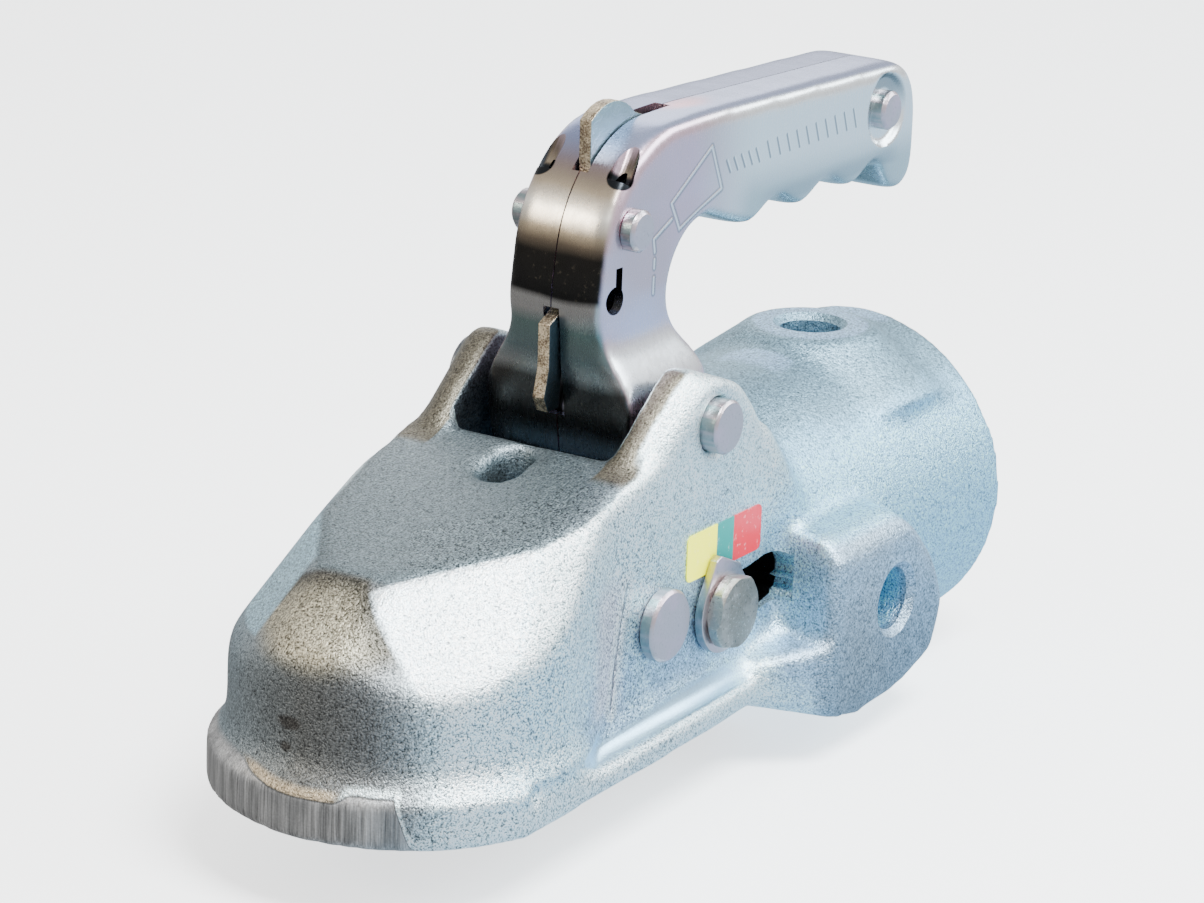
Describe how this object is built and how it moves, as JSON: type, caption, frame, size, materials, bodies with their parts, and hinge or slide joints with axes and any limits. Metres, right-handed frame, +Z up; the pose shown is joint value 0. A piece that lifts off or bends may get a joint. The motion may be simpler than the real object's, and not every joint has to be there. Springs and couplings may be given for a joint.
{
  "type": "trailer coupling head",
  "caption": "Ball coupling head for a trailer: forged housing with a tube for a round drawbar, pressed two-shell handle with a safety catch, ball jaw and wear indicator.",
  "frame": {"origin": "centre of the tow ball in its socket", "axes": "+X runs back along the drawbar, +Z is up, -Y is the side with the wear indicator"},
  "size_m": [0.232, 0.097, 0.1501],
  "materials": {
    "zinc_forging": "zinc plated over a fine blasted grain",
    "zinc_sheet": "bright zinc plate with a faint iridescence",
    "zinc_pins": "bright zinc plate",
    "catch_steel": "zinc plate with brownish sheared edges",
    "dark_steel": "greased dark steel",
    "spring_steel": "oiled spring wire",
    "bush_bronze": "sintered bronze",
    "indicator_colours": "printed film in yellow, green and red"
  },
  "bodies": {
    "housing_body": {"housing": "zinc_forging", "front_pin": "zinc_pins", "front_pin_ring": "spring_steel", "indicator_label": "indicator_colours", "handle_pivot_pin": "zinc_pins", "pivot_pin_ring": "spring_steel", "handle_spring": "spring_steel"},
    "handle": {"handle_left_shell": "zinc_sheet", "handle_right_shell": "zinc_sheet", "operating_cam": "dark_steel", "cam_bush": "bush_bronze", "neck_rivet": "zinc_pins", "neck_spacer": "dark_steel", "end_rivet": "zinc_pins", "end_spacer": "dark_steel", "catch_spring": "spring_steel"},
    "catch": {"safety_catch": "catch_steel"},
    "jaw_carriage": {"ball_jaw": "dark_steel", "indicator_bolt": "zinc_pins", "bolt_ring": "spring_steel", "bolt_sleeve_left": "dark_steel", "bolt_sleeve_right": "dark_steel", "indicator_pointer": "zinc_pins"}
  },
  "joints": [
    {"name": "handle_hinge", "type": "hinge", "parent": "housing_body", "child": "handle", "pos_m": [0.0677, 0, 0.0395], "axis": [0, -1, 0], "range_deg": [0, 35], "stiffness_Nm_per_rad": 3, "springref_deg": -28.65, "deforming": ["handle_spring"]},
    {"name": "jaw_slide", "type": "slide", "parent": "housing_body", "child": "jaw_carriage", "axis": [1, 0, 0], "range_m": [0, 0.014]},
    {"name": "catch_turn", "type": "hinge", "parent": "handle", "child": "catch", "pos_m": [0.0602, 0, 0.081], "axis": [0, -1, 0], "range_deg": [0, 6], "stiffness_Nm_per_rad": 0.5, "springref_deg": -17.19, "deforming": ["catch_spring"]}
  ],
  "couplings": [
    {"joint": "jaw_slide", "follows": "handle_hinge", "m_per_rad": 0.022918}
  ]
}
